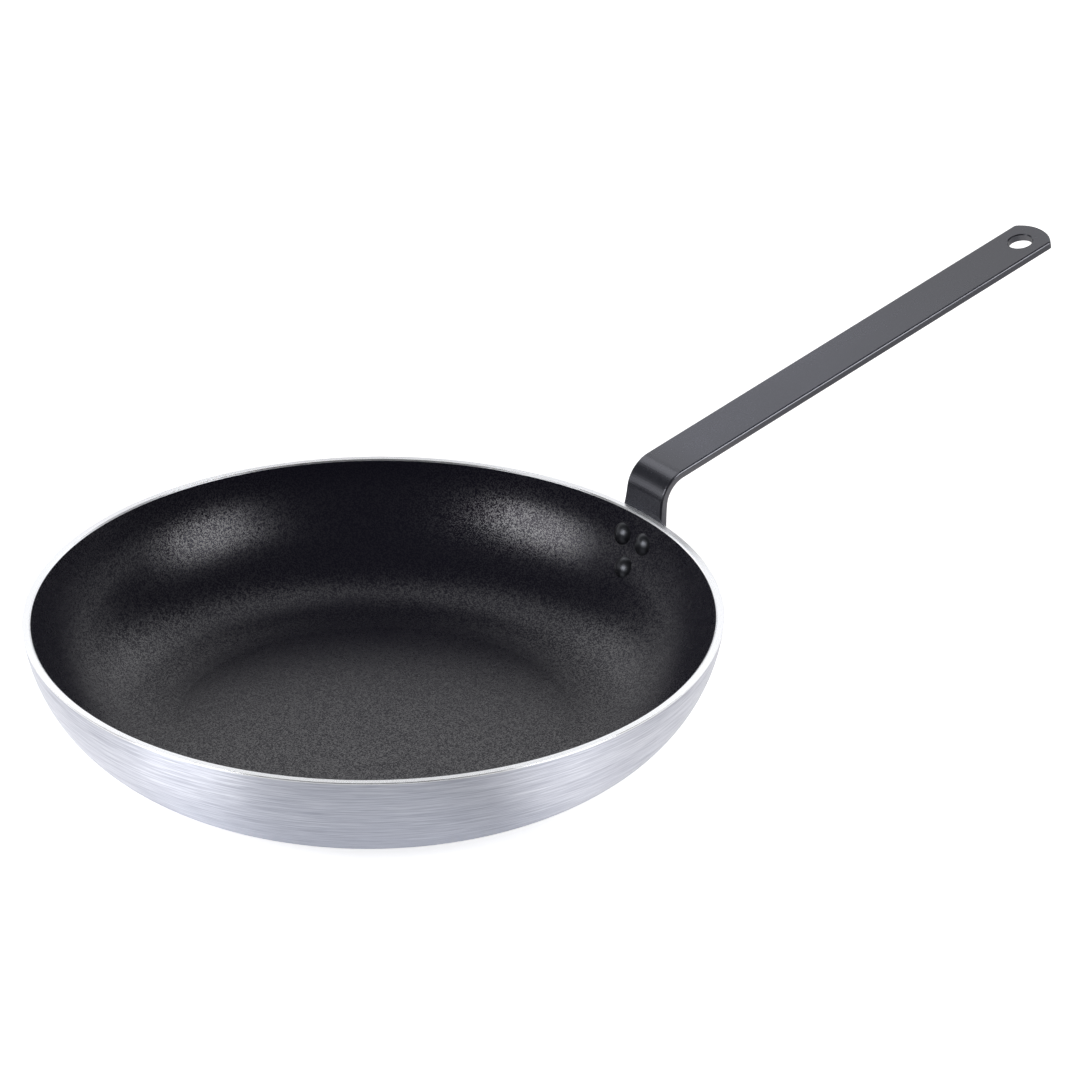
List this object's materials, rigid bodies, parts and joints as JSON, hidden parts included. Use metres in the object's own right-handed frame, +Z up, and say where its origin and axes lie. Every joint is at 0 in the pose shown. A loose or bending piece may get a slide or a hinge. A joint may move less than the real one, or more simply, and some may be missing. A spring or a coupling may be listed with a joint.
{
  "type": "omelette pan",
  "caption": "Round shallow frying pan with a curved wall, a black non-stick lining and a flat riveted strip handle with a hanging hole.",
  "frame": {"origin": "centre of the flat base, on the surface that the pan stands on", "axes": "+Z up out of the bowl, +X from the bowl's centre along the handle, +Y completes the right-handed frame"},
  "size_m": [0.5723, 0.32, 0.1362],
  "materials": {
    "brushed_aluminium": "brushed round the axis, with the rim turned bright",
    "black_nonstick": "fine-grained satin with a faint sparkle",
    "coated_steel": "satin, dark blue-grey",
    "coated_rivet": "black coating on the heads, bare metal on the formed ends"
  },
  "bodies": {
    "root": {"bowl": "brushed_aluminium", "nonstick_lining": "black_nonstick", "handle": "coated_steel", "rivet_left": "coated_rivet", "rivet_right": "coated_rivet", "rivet_lower": "coated_rivet"}
  },
  "joints": []
}
